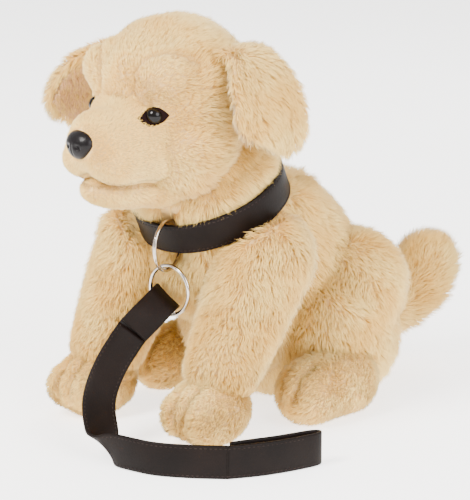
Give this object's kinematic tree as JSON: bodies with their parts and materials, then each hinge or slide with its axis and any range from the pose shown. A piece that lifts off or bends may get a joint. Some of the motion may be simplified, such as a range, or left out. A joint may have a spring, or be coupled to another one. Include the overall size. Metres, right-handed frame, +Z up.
{
  "type": "plush dog",
  "caption": "Sitting plush puppy with long cream pile, hanging ears, a leather collar with linked rings and a short strap leash lying in front of it.",
  "frame": {"origin": "middle of the flat seat that the dog sits on, on the floor", "axes": "+Z up, the dog looks along -Y, and its own left side is +X"},
  "size_m": [0.2208, 0.3219, 0.2526],
  "materials": {
    "long_pile": "long soft pile",
    "short_pile": "short soft pile",
    "ear_lining": "short soft pile",
    "filling": "loose polyester filling",
    "pellet_cloth": "plain woven bag of pellets",
    "eye_plastic": "polished",
    "nose_plastic": "satin moulded",
    "washer_plastic": "moulded",
    "lid_leather": "thin dark imitation leather",
    "strap_leather": "smooth dark brown, stitched edges",
    "nickel": "polished nickel plate"
  },
  "bodies": {
    "dog": {"chin_plush": "short_pile", "eye_left": "eye_plastic", "eye_right": "eye_plastic", "eye_rim_left": "lid_leather", "eye_rim_right": "lid_leather", "eye_washer_left": "washer_plastic", "eye_washer_right": "washer_plastic", "front_leg_left_plush": "long_pile", "front_leg_left_stuffing": "filling", "front_leg_right_plush": "long_pile", "front_leg_right_stuffing": "filling", "front_paw_left_plush": "short_pile", "front_paw_left_stuffing": "filling", "front_paw_right_plush": "short_pile", "front_paw_right_stuffing": "filling", "head_plush": "long_pile", "head_stuffing": "filling", "hind_foot_left_plush": "short_pile", "hind_foot_left_stuffing": "filling", "hind_foot_right_plush": "short_pile", "hind_foot_right_stuffing": "filling", "muzzle_plush": "short_pile", "muzzle_stuffing": "filling", "nose": "nose_plastic", "nose_washer": "washer_plastic", "seat_pellet_bag": "pellet_cloth", "thigh_left_plush": "long_pile", "thigh_left_stuffing": "filling", "thigh_right_plush": "long_pile", "thigh_right_stuffing": "filling", "torso_plush": "long_pile", "torso_stuffing": "filling"},
    "ear_left": {"ear_left_outer": "long_pile", "ear_left_lining": "ear_lining"},
    "ear_right": {"ear_right_outer": "long_pile", "ear_right_lining": "ear_lining"},
    "tail": {"tail_plush": "long_pile", "tail_stuffing": "filling"},
    "collar": {"collar_band": "strap_leather"},
    "collar_ring": {"collar_ring": "nickel"},
    "leash_ring": {"leash_ring": "nickel"},
    "leash": {"leash_strap": "strap_leather", "leash_ring_loop": "strap_leather", "leash_handle": "strap_leather"}
  },
  "joints": [
    {"name": "ear_left_flap", "type": "hinge", "parent": "dog", "child": "ear_left", "pos_m": [0.04188, -0.09389, 0.231], "axis": [-0.0698, -0.9976, 0], "range_deg": [0, 55], "stiffness_Nm_per_rad": 0.02},
    {"name": "ear_right_flap", "type": "hinge", "parent": "dog", "child": "ear_right", "pos_m": [-0.04383, -0.09391, 0.227], "axis": [0.0698, 0.9976, 0], "range_deg": [0, 25], "stiffness_Nm_per_rad": 0.02},
    {"name": "tail_wag", "type": "hinge", "parent": "dog", "child": "tail", "pos_m": [0, 0.046, 0.036], "axis": [0, 0, 1], "range_deg": [-25, 25], "stiffness_Nm_per_rad": 0.1},
    {"name": "collar_turn", "type": "hinge", "parent": "dog", "child": "collar", "pos_m": [0, -0.073, 0.138], "axis": [0, -0.4067, 0.9135], "range_deg": [0, 12]},
    {"name": "collar_ring_swing", "type": "hinge", "parent": "collar", "child": "collar_ring", "pos_m": [0.007, -0.1185, 0.129], "axis": [-0.9659, -0.2588, 0], "range_deg": [0, 15]},
    {"name": "leash_ring_swing", "type": "hinge", "parent": "collar_ring", "child": "leash_ring", "pos_m": [0.0075, -0.1164, 0.101], "axis": [-0.995, -0.0995, 0], "range_deg": [0, 20]},
    {"name": "leash_swing", "type": "hinge", "parent": "leash_ring", "child": "leash", "pos_m": [-0.0012, -0.1173, 0.0751], "axis": [-0.7956, -0.0801, 0.6005], "range_deg": [0, 20]}
  ]
}
